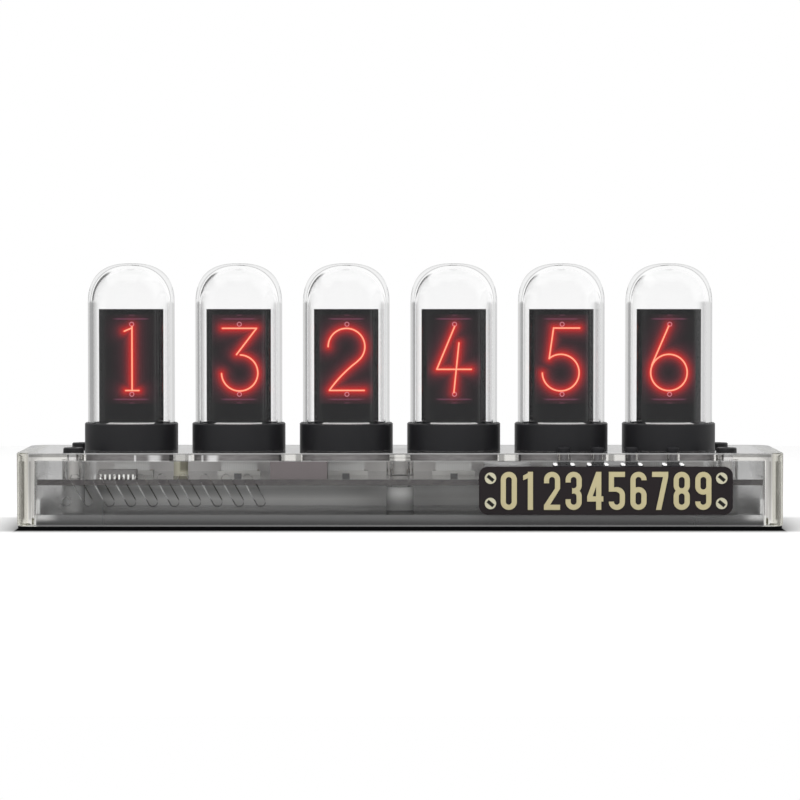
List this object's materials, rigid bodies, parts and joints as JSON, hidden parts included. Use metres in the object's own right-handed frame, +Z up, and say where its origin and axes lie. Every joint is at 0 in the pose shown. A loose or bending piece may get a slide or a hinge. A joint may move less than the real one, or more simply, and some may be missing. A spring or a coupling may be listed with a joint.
{
  "type": "digital desk clock",
  "caption": "Desk clock with digit displays under glass domes, standing in a row on a long clear base with push buttons and a plain numeral plate.",
  "frame": {"origin": "centre of the underside of the rubber pad, on the surface that the clock stands on", "axes": "+X along the base to the viewer's right, -Y towards the viewer, +Z up through the domes"},
  "size_m": [0.2104, 0.0467, 0.0729],
  "materials": {
    "clear_housing": "polished clear acrylic, moulded",
    "tray_grey": "dark grey moulded plastic, satin",
    "pad_rubber": "black rubber sheet",
    "black_screws": "black oxide steel",
    "board_black": "black solder mask over glass fibre",
    "chip_black": "moulded epoxy with tinned leads",
    "cell_holder_brown": "dark brown moulded plastic",
    "bare_steel": "plated steel",
    "capacitor_sleeve": "olive sleeve",
    "tan_ceramic": "small fired parts",
    "switch_plastic": "black moulded plastic",
    "button_black": "black moulded plastic, satin",
    "nameplate_black": "warm black satin paint",
    "numeral_brass": "pale aged brass",
    "ribbon_grey": "grey flexible ribbon",
    "socket_dark": "dark moulded plastic",
    "led_black": "black faced colour light",
    "holder_black": "black moulded plastic, satin",
    "guide_white": "frosted white acrylic",
    "bracket_black": "black moulded plastic",
    "panel_black": "black display face with one glowing digit",
    "dome_glass": "clear glass, polished"
  },
  "bodies": {
    "clock": {"base_housing": "clear_housing", "base_tray": "tray_grey", "base_pad": "pad_rubber", "cover_screws": "black_screws", "main_board": "board_black", "radio_module": "board_black", "clock_chip": "chip_black", "usb_chip": "chip_black", "regulator": "chip_black", "coin_cell_holder": "cell_holder_brown", "coin_cell": "bare_steel", "radio_shield": "bare_steel", "usb_socket": "bare_steel", "capacitor": "capacitor_sleeve", "board_components": "tan_ceramic", "switch_1": "switch_plastic", "switch_2": "switch_plastic", "switch_3": "switch_plastic", "switch_4": "switch_plastic", "nameplate": "nameplate_black", "nameplate_numerals": "numeral_brass", "nameplate_screws": "numeral_brass", "ribbon_cables": "ribbon_grey", "ribbon_sockets": "socket_dark", "tube_leds": "led_black", "tube_holder_1": "holder_black", "tube_holder_2": "holder_black", "tube_holder_3": "holder_black", "tube_holder_4": "holder_black", "tube_holder_5": "holder_black", "tube_holder_6": "holder_black", "light_guide_1": "guide_white", "light_guide_2": "guide_white", "light_guide_3": "guide_white", "light_guide_4": "guide_white", "light_guide_5": "guide_white", "light_guide_6": "guide_white", "display_bracket_1": "bracket_black", "display_bracket_2": "bracket_black", "display_bracket_3": "bracket_black", "display_bracket_4": "bracket_black", "display_bracket_5": "bracket_black", "display_bracket_6": "bracket_black", "display_panel_1": "panel_black", "display_panel_2": "panel_black", "display_panel_3": "panel_black", "display_panel_4": "panel_black", "display_panel_5": "panel_black", "display_panel_6": "panel_black", "glass_dome_1": "dome_glass", "glass_dome_2": "dome_glass", "glass_dome_3": "dome_glass", "glass_dome_4": "dome_glass", "glass_dome_5": "dome_glass", "glass_dome_6": "dome_glass"},
    "key_1": {"button_1": "button_black"},
    "key_2": {"button_2": "button_black"},
    "key_3": {"button_3": "button_black"},
    "key_4": {"button_4": "button_black"}
  },
  "joints": [
    {"name": "press_1", "type": "slide", "parent": "clock", "child": "key_1", "axis": [0, 0, 1], "range_m": [-0.00025, 0], "stiffness_N_per_m": 2000},
    {"name": "press_2", "type": "slide", "parent": "clock", "child": "key_2", "axis": [0, 0, 1], "range_m": [-0.00025, 0], "stiffness_N_per_m": 2000},
    {"name": "press_3", "type": "slide", "parent": "clock", "child": "key_3", "axis": [0, 0, 1], "range_m": [-0.00025, 0], "stiffness_N_per_m": 2000},
    {"name": "press_4", "type": "slide", "parent": "clock", "child": "key_4", "axis": [0, 0, 1], "range_m": [-0.00025, 0], "stiffness_N_per_m": 2000}
  ]
}
